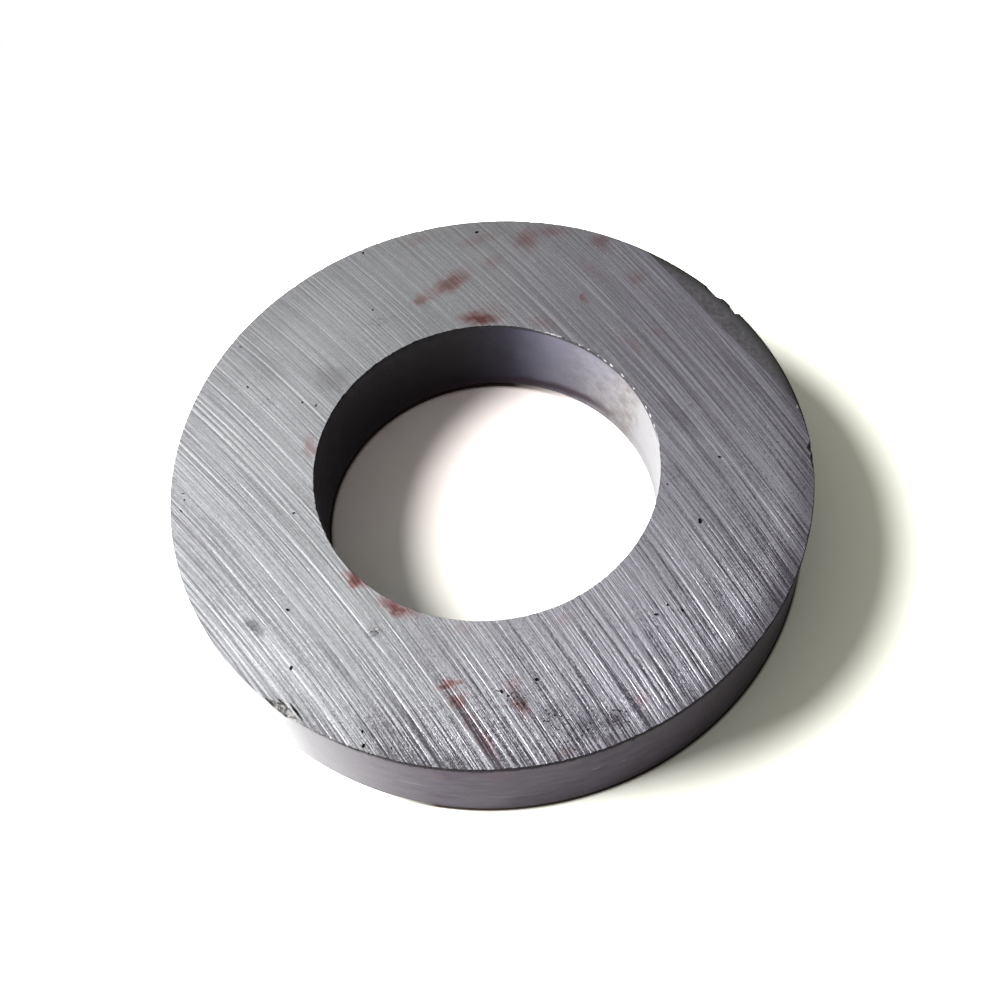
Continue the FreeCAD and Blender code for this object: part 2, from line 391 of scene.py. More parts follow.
class Finish:
    """A material's nodes, added by what they do."""

    def __init__(self, name):
        self.material = bpy.data.materials.new(name)
        self.material.use_nodes = True
        self.tree = self.material.node_tree
        self.shader = self.tree.nodes["Principled BSDF"]

    def node(self, kind, inputs=(), **settings):
        """A new node, with its settings and with a value or a link in each input named."""
        n = self.tree.nodes.new("ShaderNode" + kind)
        for key, value in settings.items():
            setattr(n, key, value)
        for key, value in dict(inputs).items():
            self.join(value, n.inputs[key])
        return n

    def join(self, value, socket):
        """Links the value to the socket, or writes it there."""
        if isinstance(value, bpy.types.NodeSocket):
            self.tree.links.new(value, socket)
        else:
            socket.default_value = value

    def math(self, operation, a, b=0.0, c=0.0, clamp=False):
        n = self.node("Math", {0: a, 1: b, 2: c}, operation=operation, use_clamp=clamp)
        return n.outputs[0]

    def place(self):
        """Object coordinates in millimetres."""
        coordinates = self.node("TexCoord").outputs["Object"]
        return self.node("Mapping", {"Vector": coordinates, "Scale": (1000, 1000, 1000)}).outputs[0]

    def moved(self, vector, location=(0, 0, 0), turn=0.0, scale=(1, 1, 1)):
        """The place as seen from an oval there, so turned and so large."""
        inputs = {"Vector": vector, "Location": location, "Rotation": (0, 0, turn), "Scale": scale}
        return self.node("Mapping", inputs, vector_type="TEXTURE").outputs[0]

    def split(self, vector):
        return self.node("SeparateXYZ", {0: vector}).outputs

    def vector(self, x, y, z):
        return self.node("CombineXYZ", {0: x, 1: y, 2: z}).outputs[0]

    def length(self, vector):
        return self.node("VectorMath", {0: vector}, operation="LENGTH").outputs["Value"]

    def from_axis(self, x, y):
        """Distance from the ring's axis."""
        return self.length(self.vector(x, y, 0.0))

    def noise(self, vector, scale=1.0, detail=2.0, roughness=0.5):
        inputs = {"Vector": vector, "Scale": scale, "Detail": detail, "Roughness": roughness}
        return self.node("TexNoise", inputs).outputs[0]

    def span(self, value, low, high, to_low=0.0, to_high=1.0, smooth=False):
        """The value's way from low to high, turned into one from to_low to to_high."""
        inputs = {0: value, 1: low, 2: high, 3: to_low, 4: to_high}
        kind = "SMOOTHSTEP" if smooth else "LINEAR"
        return self.node("MapRange", inputs, interpolation_type=kind).outputs[0]

    def blend(self, amount, a, b, way="MIX"):
        """From colour a to colour b by the amount."""
        n = self.node("Mix", data_type="RGBA", blend_type=way, clamp_factor=True)
        self.join(amount, n.inputs[0])
        self.join(a if isinstance(a, bpy.types.NodeSocket) else (*a, 1), n.inputs[6])
        self.join(b if isinstance(b, bpy.types.NodeSocket) else (*b, 1), n.inputs[7])
        return n.outputs[2]

    def bump(self, height, depth):
        inputs = {"Height": height, "Distance": depth * MM, "Strength": 1.0}
        return self.node("Bump", inputs).outputs[0]

    def diffuse(self, colour):
        colour = colour if isinstance(colour, bpy.types.NodeSocket) else (*colour, 1)
        return self.node("BsdfDiffuse", {"Color": colour}).outputs[0]

    def glow(self, colour, strength):
        return self.node("Emission", {"Color": (*colour, 1), "Strength": strength}).outputs[0]

    def cover(self, amount, under, over):
        """One shader laid over another by the amount."""
        return self.node("MixShader", {0: amount, 1: under, 2: over}).outputs[0]

    def set(self, **values):
        """Writes or links the shader's inputs."""
        for key, value in values.items():
            self.join(value, self.shader.inputs[key.replace("_", " ")])


# x, y, half the length, half the width, turn and strength of each patch on the top face
STAINS = (
    (-1.2, 22.2, 2.4, 1.2, 25, 0.75), (-4.2, 20.5, 1.0, 0.8, 20, 0.65), (1.3, 17.2, 2.1, 1.0, -10, 1.0),
    (3.4, 24.2, 1.5, 0.8, 30, 0.3), (7.1, 26.6, 1.4, 1.4, 30, 0.6), (9.8, 27.3, 2.0, 0.8, -15, 0.45),
    (14.6, 24.9, 1.1, 1.3, 25, 0.55), (11.9, 18.0, 0.6, 0.7, 0, 0.6), (17.3, 19.6, 1.0, 0.9, 0, 0.4),
    (-4.1, 28.5, 1.5, 0.7, 5, 0.25), (-16.4, 4.5, 0.7, 1.3, 0, 0.5), (-12.95, -10.5, 1.3, 0.8, -50, 1.0),
    (-9.3, -13.8, 1.9, 0.75, -34, 1.0), (-5.3, -21.8, 1.2, 0.5, 5, 0.9), (-4.8, -23.4, 0.9, 0.8, 20, 0.8),
    (-3.9, -25.4, 0.5, 1.3, 26, 0.4), (-2.7, -27.7, 0.5, 1.9, 22, 0.5), (0.0, -22.5, 0.8, 0.8, 0, 0.35),
    (0.5, -24.5, 0.6, 1.2, 30, 0.75), (-3.8, -16.7, 1.2, 0.8, 0, 0.15), (5.0, -17.0, 1.0, 0.7, 0, 0.2),
    (2.8, 18.0, 2.0, 0.8, -20, 0.25), (7.5, 15.6, 1.6, 0.7, -25, 0.3), (3.6, -29.0, 1.0, 0.5, 0, 0.35),
    (2.4, 27.5, 2.4, 0.7, 10, 0.3), (13.0, 21.5, 2.2, 0.5, -50, 0.25), (15.6, 11.6, 1.6, 0.5, -50, 0.3),
    (18.3, 12.6, 1.0, 0.5, -40, 0.25), (10.6, -25.2, 0.5, 0.7, 0, 0.4), (-12.0, 10.9, 0.6, 0.5, 0, 0.2),
)
OPEN_GRAIN = (
    (3.5, -25.6, 2.2, 1.6, 40, 0.5), (6.0, -27.4, 1.3, 1.3, 0, 0.8), (8.2, -26.6, 1.4, 0.8, 30, 0.9),
    (0.3, -24.0, 1.0, 1.3, 20, 0.7), (4.6, -28.6, 1.6, 0.5, 5, 0.6), (-5.6, -28.8, 1.8, 0.5, -10, 0.8),
    (-10.4, -27.6, 2.0, 0.6, -20, 0.7), (-11.5, -15.9, 0.8, 0.7, 0, 1.0), (-22.2, -14.2, 0.5, 1.2, 35, 0.7),
    (17.0, -3.6, 1.2, 1.0, 0, 0.5), (-9.0, 18.5, 1.2, 0.8, 0, 0.4), (-20.3, 10.5, 1.0, 0.8, 0, 0.4),
)
DARK_PATCHES = (
    (-22.1, -13.9, 0.4, 1.3, 35, 1.0), (-11.5, -15.9, 0.7, 0.6, 0, 0.5), (-13.8, 12.2, 2.2, 1.6, -35, 0.4),
    (-20.3, 15.0, 2.6, 1.6, -50, 0.2), (-23.5, 14.2, 1.2, 0.9, 0, 0.15), (5.4, -27.0, 1.8, 1.4, 20, 0.8),
    (8.2, -26.5, 1.2, 0.8, 30, 0.85), (0.4, -24.0, 0.9, 1.3, 25, 0.4), (3.3, -25.6, 1.4, 1.1, 30, 0.4),
    (18.6, 2.5, 1.3, 3.2, 35, 0.3), (20.6, -3.0, 1.0, 2.6, 35, 0.2),
)
LIGHT_AREAS = (
    (-14.5, -14.0, 7.0, 5.0, -45, 0.14), (-18.0, 6.0, 4.5, 7.0, 0, 0.10), (13.0, -13.0, 6.5, 4.0, 45, 0.13),
    (-15.0, 17.0, 6.0, 5.0, 45, 0.08), (20.0, -5.0, 5.0, 8.0, -15, 0.07), (-18.5, 10.5, 3.2, 3.2, 0, 0.14),
    (-21.5, -17.5, 6.0, 3.2, -50, 0.2), (-12.0, -21.5, 4.5, 3.0, -25, 0.15), (15.5, -1.5, 2.5, 6.0, 0, 0.1),
)
# painted glints: small white highlights where chips and burrs at the bore edge and on the face catch the
# light
PAINTED_GLINTS = (
    (19.1, -9.6, 0.16, 0.1, 30, 1.0),
    (8.2, 14.0, 0.22, 0.14, -25, 1.0), (10.8, 12.1, 0.3, 0.14, -40, 1.0), (12.1, 10.8, 0.2, 0.12, -45, 0.9),
    (13.2, 9.5, 0.3, 0.14, -55, 1.0), (-7.9, 14.1, 0.2, 0.16, 30, 1.0), (-11.3, -15.7, 0.14, 0.1, 0, 0.9),
    (9.6, 13.1, 0.16, 0.1, -35, 0.8), (14.9, 6.5, 0.3, 0.12, -65, 0.9), (29.6, 1.9, 0.25, 0.15, 80, 0.9),
)
# x, y, z, half the length, half the height, turn and colour of each mark on the outer wall
WALL_MARKS = (
    (6.2, -29.3, 6.2, 0.5, 0.12, 12, (0.55, 0.53, 0.56)),
    (8.6, -28.7, 5.6, 0.35, 0.1, 17, (0.5, 0.48, 0.5)),
    (-2.0, -29.95, 8.6, 1.6, 0.7, -4, (0.24, 0.14, 0.18)),
    (-7.5, -29.05, 7.9, 1.2, 0.7, -14, (0.28, 0.19, 0.22)),
    (-1.0, -30.0, 3.4, 3.0, 0.25, 0, (0.30, 0.27, 0.31)),
    (-10.0, -28.3, 5.2, 2.6, 0.3, -20, (0.36, 0.33, 0.37)),
)
FRESH_RUST = (0.90, 0.52, 0.50)
OLD_RUST = (0.50, 0.38, 0.38)


def mark_lines(f, place, turn):
    """Across and along the wheel's marks in millimetres."""
    turned = f.node("Mapping", {"Vector": place, "Rotation": (0, 0, turn - MARK_TURN),
                                "Location": (WHEEL_OFFSET, 0, 0)}).outputs[0]
    along, side, _ = f.split(turned)
    arc = f.math("SQRT", f.math("SUBTRACT", WHEEL ** 2, f.math("MULTIPLY", along, along)))
    return f.math("SUBTRACT", side, arc), along


def streaks(f, place, height, turn, width, length, seed):
    """Noise drawn out along marks turned by a degree or so, width across and length along."""
    across, along = mark_lines(f, place, turn)
    v = f.vector(f.math("DIVIDE", across, width), f.math("DIVIDE", along, length),
                 f.math("MULTIPLY_ADD", height, 3.0, seed))
    return f.noise(v, 1.0, 0.0)


def patches(f, place, spots, low, high):
    """Soft patches on the top face, each an oval with its own size, turn and strength."""
    cover = None
    for x, y, long, wide, turn, strength in spots:
        local = f.moved(place, (x, y, HEIGHT), math.radians(turn), (long, wide, 1.0))
        patch = f.span(f.length(local), low, high, strength, 0.0, smooth=True)
        cover = patch if cover is None else f.math("MAXIMUM", cover, patch)
    return cover


def frayed(f, place, size, amount):
    """The place pushed about by noise, so that patches drawn there get ragged edges."""
    drift = f.node("TexNoise", {"Vector": place, "Scale": 1 / size, "Detail": 3.0}).outputs["Color"]
    push = f.node("VectorMath", {0: drift, 1: (0.5, 0.5, 0.5)}, operation="SUBTRACT").outputs[0]
    push = f.node("VectorMath", {0: push, 1: (amount, amount, 0.0)}, operation="MULTIPLY").outputs[0]
    return f.node("VectorMath", {0: place, 1: push}, operation="ADD").outputs[0]


# width and length of the marks in mm, share of the tone, share of the relief, turn in degrees
MARK_LAYERS = (
    (2.6, 30, 0.16, 0.0, 0.0), (1.3, 22, 0.20, 0.0, 0.5), (0.6, 20, 0.26, 0.3, -0.6),
    (0.3, 18, 0.24, 0.6, 0.9), (0.25, 16, 0.22, 0.6, -0.3), (0.15, 15, 0.38, 0.8, -1.3),
    (0.12, 12, 0.38, 0.8, 0.8), (0.08, 8, 0.44, 0.8, -0.2), (0.065, 7, 0.44, 0.8, 1.9),
)
FINE_MARK = 0.3
# the darkest and the palest grey of the face; the tone between them carries the streaks and the painted
# light and shade
DARKEST_FACE_TONE = (0.166, 0.157, 0.178)
PALEST_FACE_TONE = (0.925, 0.938, 0.975)
RIGHT_TINT = (0.99, 0.95, 1.03)
DULL_TINT = (0.42, 0.41, 0.43)
PITTED = (0.13, 0.12, 0.13)
WHITE = (1.0, 1.0, 1.0)


def streak_lighting_and_depth(f, x, y, radius):
    """How strongly the streaks show and how deep their relief is: painted light makes them show more toward
    the front and the right, where the lamp catches their sides, and less at the front rim.
    """
    front = f.math("MULTIPLY", f.math("POWER", 2.0, f.math("MULTIPLY", y, -0.053)), 0.95)
    right_front = f.math("MULTIPLY_ADD", y, -0.87, f.math("MULTIPLY", x, 0.5))
    front = f.math("MULTIPLY", front, f.span(right_front, 12.0, 22.0, 1.0, 1.4))
    to_right = f.math("ADD", f.span(x, -16.0, 0.0, -0.28, 0.0), f.span(x, 2.0, 18.0, 0.0, 0.55))
    to_right = f.math("MULTIPLY", to_right, f.span(y, 2.0, -12.0))
    front = f.math("MULTIPLY", front, f.math("ADD", to_right, 1.0))
    dulled = f.math("MULTIPLY", f.span(radius, 28.2, 29.8), f.span(y, -8.0, -14.0, 0.0, 0.45))
    return f.math("MULTIPLY", front, f.math("SUBTRACT", 1.0, dulled))


def face_tone_and_painted_light(f, place, x, y, radius):
    """The face's grey under its streaks, with painted light and shade: paler toward the lamp at the left
    and back left, darker to the right, paler also toward the bore and in a few areas, darker at the rim.
    """
    tone_and_painted_light = f.span(f.math("MULTIPLY_ADD", y, 0.35, x), -6.0, 26.0, 0.55, 0.402, smooth=True)
    back_left = f.math("MULTIPLY_ADD", y, 0.91, f.math("MULTIPLY", x, -0.42))
    tone_and_painted_light = f.math("ADD", tone_and_painted_light, f.span(back_left, 6.0, 22.0, 0.0, 0.13))
    toward_front = f.math("MULTIPLY_ADD", y, -0.0005, 0.009)
    inward = f.math("MULTIPLY", f.math("SUBTRACT", 23.5, radius), toward_front)
    tone_and_painted_light = f.math("ADD", tone_and_painted_light, inward)
    front_rim = f.math("MULTIPLY", f.span(radius, 21.0, 28.5, 0.0, 0.19), f.span(y, -8.0, -19.0))
    front_rim = f.math("MULTIPLY", front_rim, f.span(x, -20.0, -8.0, 0.3, 1.0))
    middle = f.math("MULTIPLY", f.span(x, -10.0, -4.0), f.span(x, 13.0, 7.0))
    front_rim = f.math("MULTIPLY_ADD", middle, f.span(y, -21.0, -27.0, 0.0, 0.2), front_rim)
    tone_and_painted_light = f.math("SUBTRACT", tone_and_painted_light, front_rim)
    back_rim = f.math("MULTIPLY", f.span(radius, 25.5, 29.0, 0.0, 0.08), f.span(y, 5.0, 10.0))
    tone_and_painted_light = f.math("SUBTRACT", tone_and_painted_light, back_rim)
    return f.math("ADD", tone_and_painted_light, patches(f, place, LIGHT_AREAS, 0.2, 1.3))


def ground_face():
    """The ground faces: grey, with the wheel's streaks, open grain and the iron's stains, with painted
    light and shade, painted highlights on the streaks and painted glints.
    """
    f = Finish("ground_face")
    place = f.place()
    x, y, height = f.split(place)
    radius = f.from_axis(x, y)
    # painted light in the streaks' contrast, and the depth of their relief
    strength = streak_lighting_and_depth(f, x, y, radius)
    grain = f.noise(place, 2.6, 4.0, 0.8)
    crumb = f.noise(place, 5.5, 2.0, 0.8)
    tone = f.math("MULTIPLY", f.math("SUBTRACT", grain, 0.5), 0.9)
    tone = f.math("MULTIPLY_ADD", f.math("SUBTRACT", crumb, 0.5), 1.0, tone)
    relief = f.math("MULTIPLY", grain, 0.012)
    # painted highlight: bright lines on the finest marks, where their sides catch the light, stronger to
    # the right; the same lines are polished, so less rough
    highlight_share = f.span(x, 0.0, 14.0, 0.16, 0.30)
    lines = None
    for k, (width, length, share, lift, turn) in enumerate(MARK_LAYERS):
        marks = streaks(f, place, height, math.radians(turn), width, length, 4.0 * k + 1)
        tone = f.math("MULTIPLY_ADD", f.math("SUBTRACT", marks, 0.5), share, tone)
        relief = f.math("MULTIPLY_ADD", marks, 0.04 * lift * width, relief)
        if width < FINE_MARK:
            polish_and_highlight = f.span(marks, 0.6, 0.74)
            tone = f.math("MULTIPLY_ADD", polish_and_highlight, highlight_share, tone)
            lines = polish_and_highlight if lines is None else f.math("MAXIMUM", lines, polish_and_highlight)
    tone = f.math("MULTIPLY_ADD", f.math("ABSOLUTE", tone), 0.4, tone)
    # painted light and shade: the face's grey is paler toward the lamp and darker away from it
    tone_and_painted_light = face_tone_and_painted_light(f, place, x, y, radius)
    tone = f.math("MULTIPLY_ADD", tone, strength, tone_and_painted_light, clamp=True)
    # painted shade: a darker band along the rim at the right
    right_rim_shade = f.math("MULTIPLY", f.span(radius, 27.0, 29.3), f.span(x, 10.0, 22.0, 0.0, 0.5))
    right_rim_shade = f.math("MULTIPLY", right_rim_shade, f.span(y, 10.0, 6.0))
    tone = f.math("MULTIPLY", tone, f.math("SUBTRACT", 1.0, right_rim_shade))
    grey = f.blend(tone, DARKEST_FACE_TONE, PALEST_FACE_TONE)
    to_right = f.span(f.math("MULTIPLY_ADD", y, -0.3, x), -8.0, 16.0)
    grey = f.blend(to_right, grey, RIGHT_TINT, "MULTIPLY")
    stained = patches(f, frayed(f, place, 0.9, 1.5), STAINS, 0.1, 1.5)
    colour = f.blend(stained, grey, FRESH_RUST, "MULTIPLY")
    colour = f.blend(f.math("MULTIPLY", stained, stained), colour, OLD_RUST, "MULTIPLY")
    dull = patches(f, frayed(f, place, 1.2, 1.8), DARK_PATCHES, 0.2, 1.3)
    colour = f.blend(dull, colour, DULL_TINT, "MULTIPLY")
    open_grain = patches(f, frayed(f, place, 0.7, 1.2), OPEN_GRAIN, 0.4, 1.2)
    holes = f.span(f.noise(place, 4.5, 3.0, 0.65), 0.44, 0.56)
    pitted = f.math("MULTIPLY", open_grain, holes)
    colour = f.blend(f.math("MULTIPLY", pitted, 0.7), colour, PITTED)
    # painted glints in white
    colour = f.blend(patches(f, place, PAINTED_GLINTS, 0.7, 1.0), colour, WHITE)
    relief = f.math("MULTIPLY_ADD", pitted, -0.006, f.math("MULTIPLY", relief, strength))
    f.set(Base_Color=colour, Metallic=0.9, Roughness=f.math("MULTIPLY_ADD", lines, -0.05, 0.45),
          IOR=2.0, Normal=f.bump(relief, 1.0))
    return f.material


# a pair is the darker and the paler colour of one uneven surface
PLAIN_SKIN = (0.155, 0.115, 0.168), (0.24, 0.20, 0.26)
SKIN_BEHIND = (0.145, 0.136, 0.145), (0.215, 0.205, 0.215)
# painted light on the rim's wall toward the lamp at the left, with a painted glare, and painted shade at
# the right
SKIN_LIT_LEFT_FRONT = (0.58, 0.57, 0.59)
SKIN_LIT_LEFT = (0.32, 0.31, 0.325)
SKIN_GLARING = (0.82, 0.81, 0.82)
SKIN_RIGHT_IN_SHADE = (0.12, 0.10, 0.11)
BORE_LEFT_IN_SHADE = (0.034, 0.024, 0.032)
BORE_MIDDLE_IN_SHADE = (0.075, 0.068, 0.11)
BORE_RIGHT_HALF_LIT = (0.275, 0.26, 0.345)
LIT_MOTTLE = (0.27, 0.245, 0.24), (0.42, 0.405, 0.41)
WHITISH_LIT = (0.43, 0.42, 0.435)
BORE_FOOT_SHADE = (0.06, 0.03, 0.045)
CRUMBLED_EDGE_IN_SHADE = (0.025, 0.015, 0.02)
UNGROUND = (0.062, 0.059, 0.066), (0.105, 0.10, 0.108)
UNGROUND_RIM = (0.034, 0.033, 0.029)
SPECKS = (0.06, 0.05, 0.055)
LOWER_EDGE_SHADE = (0.05, 0.035, 0.045)


def outer_wall(f, place, x, y, cloud):
    """The rim's wall: purplish in front, pale at the left in painted light, with a painted glare, dark
    behind, and dark at the right in painted shade.
    """
    bands = f.span(f.noise(f.moved(place, scale=(3.5, 3.5, 1.1)), 1.0, 4.0, 0.65), 0.35, 0.65)
    lit_pale = f.blend(f.span(y, -12.0, -2.0, smooth=True), SKIN_LIT_LEFT_FRONT, SKIN_LIT_LEFT)
    glaring = f.math("MULTIPLY", f.span(x, -18.3, -21.0), f.span(y, -12.0, -17.0))
    lit_pale = f.blend(glaring, lit_pale, SKIN_GLARING)
    wall = f.blend(f.span(x, -6.0, -22.0, smooth=True), f.blend(bands, *PLAIN_SKIN), lit_pale)
    wall = f.blend(f.span(y, -1.0, 15.0, smooth=True), wall, f.blend(bands, *SKIN_BEHIND))
    wall = f.blend(f.span(x, 4.0, 24.0, smooth=True), wall, SKIN_RIGHT_IN_SHADE)
    for px, py, pz, long, tall, turn, colour in WALL_MARKS:
        local = f.moved(place, (px, py, pz), math.radians(turn), (long, 1.0, tall))
        far = f.math("MULTIPLY_ADD", cloud, 0.8, f.length(local))
        wall = f.blend(f.span(far, 1.5, 0.8, 0.0, 0.8), wall, colour)
    return wall


def bore_wall(f, place, x, y, height, cloud):
    """The bore's wall in painted light and shade: nearly black at the left and bluish dark in the middle,
    in shade, paler and mottled at the right, where the lamp reaches it, whitish at its rightmost, with a
    dark band of painted shade low down.
    """
    drift = f.math("SUBTRACT", cloud, 0.5)
    uneven = f.math("MULTIPLY_ADD", drift, 7.0, x)
    evener = f.math("MULTIPLY_ADD", drift, 2.0, x)
    # painted light and shade: from near black in shade at the left to paler where the lamp reaches the
    # right
    bore = f.blend(f.span(evener, -1.0, 5.0), BORE_LEFT_IN_SHADE, BORE_MIDDLE_IN_SHADE)
    bore = f.blend(f.span(evener, 3.0, 8.5, smooth=True), bore, BORE_RIGHT_HALF_LIT)
    # the lit right side is painted paler and mottled
    lit_mottled = f.span(f.math("MULTIPLY_ADD", height, -0.25, uneven), 6.5, 13.5)
    mottled = f.span(f.noise(place, 0.8, 4.0, 0.65), 0.38, 0.62)
    bore = f.blend(lit_mottled, bore, f.blend(mottled, *LIT_MOTTLE))
    # painted light: whitish at the bore's rightmost, where it is lit most
    low_right = f.span(f.math("MULTIPLY_ADD", cloud, 4.0, y), 8.6, 7.4)
    whitish = f.math("MULTIPLY", f.span(x, 13.5, 15.0), low_right)
    bore = f.blend(whitish, bore, WHITISH_LIT)
    # painted shade: a dark band low on the bore's wall, fading toward the lit right
    foot_level = f.math("MULTIPLY_ADD", drift, 0.8, f.math("MULTIPLY_ADD", x, -0.08, height))
    foot_shade = f.math("MULTIPLY", f.span(foot_level, 0.0, 0.5), f.span(foot_level, 1.7, 1.0))
    foot_shade = f.math("MULTIPLY", foot_shade, f.span(x, 14.6, 11.5, 0.1, 0.9))
    return f.blend(foot_shade, bore, BORE_FOOT_SHADE)


def fired_skin():
    """The fired skin: the two walls, their crumbled and lower edges and the low spot, with painted light
    and shade.
    """
    f = Finish("fired_skin")
    place = f.place()
    x, y, height = f.split(place)
    radius = f.from_axis(x, y)
    cloud = f.noise(place, 0.35, 4.0, 0.55)
    speck = f.noise(place, 5.0, 2.0, 0.6)
    crumbs = f.noise(place, 2.2, 3.0, 0.7)
    crumb_drift = f.math("SUBTRACT", crumbs, 0.5)
    # the crumbled band along the top of the rim's wall, painted dark as in shade, less so toward the lit
    # left
    ragged = f.span(f.math("MULTIPLY_ADD", crumb_drift, 0.8, height), HEIGHT - 0.7, HEIGHT - 0.35)
    crumbled_in_shade = f.math("MULTIPLY", ragged, f.span(x, -16.0, -9.0, 0.25, 0.8))
    wall = f.blend(crumbled_in_shade, outer_wall(f, place, x, y, cloud), CRUMBLED_EDGE_IN_SHADE)
    bore = bore_wall(f, place, x, y, height, cloud)
    colour = f.blend(f.math("GREATER_THAN", radius, HALF_WAY), bore, wall)
    unground = f.math("MULTIPLY", f.span(height, HEIGHT - 0.5, HEIGHT - 0.3), f.span(y, 0.0, 2.0))
    sandy = f.blend(f.span(crumbs, 0.4, 0.65), *UNGROUND)
    rimward = f.math("MULTIPLY_ADD", crumb_drift, 1.6, radius)
    sandy = f.blend(f.span(rimward, 28.9, 29.6), sandy, UNGROUND_RIM)
    colour = f.blend(unground, colour, sandy)
    colour = f.blend(f.span(speck, 0.62, 0.72, 0.0, 0.5), colour, SPECKS)
    # painted shade: both walls darker toward their foot, by the table
    colour = f.blend(f.span(height, 0.75, 0.3, 0.0, 0.6), colour, LOWER_EDGE_SHADE)
    bumps = f.bump(f.math("MULTIPLY_ADD", speck, 0.6, cloud), 0.02)
    dullest = f.math("MAXIMUM", crumbled_in_shade, unground)
    dullness = f.math("MAXIMUM", f.span(cloud, 0.3, 0.7, 0.4, 0.5), dullest)
    f.set(Base_Color=colour, Roughness=dullness, IOR=1.45, Normal=bumps)
    return f.material


BROKEN_GRAIN = (0.012, 0.008, 0.01), (0.07, 0.055, 0.06)
BROKEN_LEFT = (0.04, 0.035, 0.035), (0.36, 0.355, 0.35)
LIT_CRUMBS = (0.22, 0.215, 0.22), (0.60, 0.59, 0.60)
# the white of the painted glints
GLINT_WHITE = (0.95, 0.93, 0.92)


def broken_grain():
    """Broken ferrite in the chips and pores: dark and rough, paler at the left and the lit bore edge, with
    painted glints.
    """
    f = Finish("broken_grain")
    place = f.place()
    x, y, _ = f.split(place)
    grain = f.noise(place, 6.0, 3.0, 0.65)
    speck = f.noise(place, 14.0, 1.0, 0.5)
    colour = f.blend(f.span(grain, 0.35, 0.7), *BROKEN_GRAIN)
    crumbs = f.span(f.noise(place, 3.0, 4.0, 0.7), 0.42, 0.56)
    colour = f.blend(f.span(x, -14.0, -18.0), colour, f.blend(crumbs, *BROKEN_LEFT))
    inner = f.math("LESS_THAN", f.from_axis(x, y), 18.0)
    lit_edge = f.math("MULTIPLY", f.math("MULTIPLY", inner, f.span(x, 5.5, 8.0)), f.span(y, -1.0, 2.0))
    colour = f.blend(lit_edge, colour, f.blend(f.span(grain, 0.35, 0.55), *LIT_CRUMBS))
    colour = f.blend(patches(f, place, PAINTED_GLINTS, 0.8, 1.1), colour, GLINT_WHITE)
    dullness = f.span(speck, 0.4, 0.7, 0.8, 0.5)
    f.set(Base_Color=colour, Roughness=dullness, IOR=1.5, Normal=f.bump(grain, 0.12))
    return f.material


def as_object(name, bm, finishes):
    """An object in the scene, in metres, with the finishes in their order."""
    mesh = bpy.data.meshes.new(name)
    bm.transform(Matrix.Scale(MM, 4))
    bm.to_mesh(mesh)
    bm.free()
    for finish in finishes:
        mesh.materials.append(finish)
    piece = bpy.data.objects.new(name, mesh)
    bpy.context.scene.collection.objects.link(piece)
    return piece


def take_off(piece, tool):
    """Takes the tool's shape off the piece, and the tool away."""
    cut = piece.modifiers.new("cut", "BOOLEAN")
    cut.operation = "DIFFERENCE"
    cut.solver = "MANIFOLD"
    cut.material_mode = "INDEX"
    cut.object = tool
    result = piece.evaluated_get(bpy.context.evaluated_depsgraph_get())
    mesh = bpy.data.meshes.new_from_object(result)
    piece.modifiers.clear()
    old = piece.data
    piece.data = mesh
    bpy.data.meshes.remove(old)
    bpy.data.meshes.remove(tool.data)


# where the map has the middle of a face, and half its width there
TOP_MAP = 0.33, 0.66, 0.32
UNDERSIDE_MAP = 0.835, 0.83, 0.15
# the angle that each strip of a wall covers
RIM_STRIP = 120
BORE_STRIP = 180


def lay_out(piece):
    """The map for baking the finishes on: top face, underside, and the two walls in strips."""
    mesh = piece.data
    layer = mesh.uv_layers.new(name="OFBake")
    for polygon in mesh.polygons:
        centre = polygon.center / MM
        level = polygon.normal.z
        radius = math.hypot(centre.x, centre.y)
        azimuth = math.degrees(math.atan2(centre.y, centre.x)) % 360
        for loop in polygon.loop_indices:
            p = mesh.vertices[mesh.loops[loop].vertex_index].co / MM
            turn = (math.degrees(math.atan2(p.y, p.x)) - azimuth + 180) % 360 - 180
            if abs(level) > 0.5:
                u, v, size = TOP_MAP if level > 0 else UNDERSIDE_MAP
                uv = u + p.x * size / OUTER, v + p.y * size / OUTER
            elif radius > MIDDLE:
                strip = int(azimuth // RIM_STRIP)
                along = (azimuth + turn - RIM_STRIP * strip) / RIM_STRIP
                uv = 0.015 + 0.66 * along, 0.01 + 0.11 * strip + p.z * 0.0098
            else:
                strip = int(azimuth // BORE_STRIP)
                along = (azimuth + turn - BORE_STRIP * strip) / BORE_STRIP
                uv = 0.70 + 0.13 * strip + p.z * 0.0105, 0.03 + 0.56 * along
            layer.data[loop].uv = uv


def make_ring():
    """The blank, ground, chipped, knocked and pitted, in the solid's place."""
    finishes = (ground_face(), fired_skin(), broken_grain())
    ring = as_object("ferrite_ring_look", fired_blank(), finishes)
    take_off(ring, as_object("wheel_cut", wheel_cut(), finishes))
    for k, chip in enumerate(RIM_CHIPS):
        take_off(ring, as_object("rim_chip", rim_chip(chip, 60 + k), finishes))
    take_off(ring, as_object("small_knocks", small_knocks(), finishes))
    take_off(ring, as_object("pores", pores(), finishes))
    ring.data.polygons.foreach_set("use_smooth", [True] * len(ring.data.polygons))
    ring.data.set_sharp_from_angle(angle=math.radians(28))
    lay_out(ring)
    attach(ring, "root")
    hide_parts("ferrite_ring")
    return ring


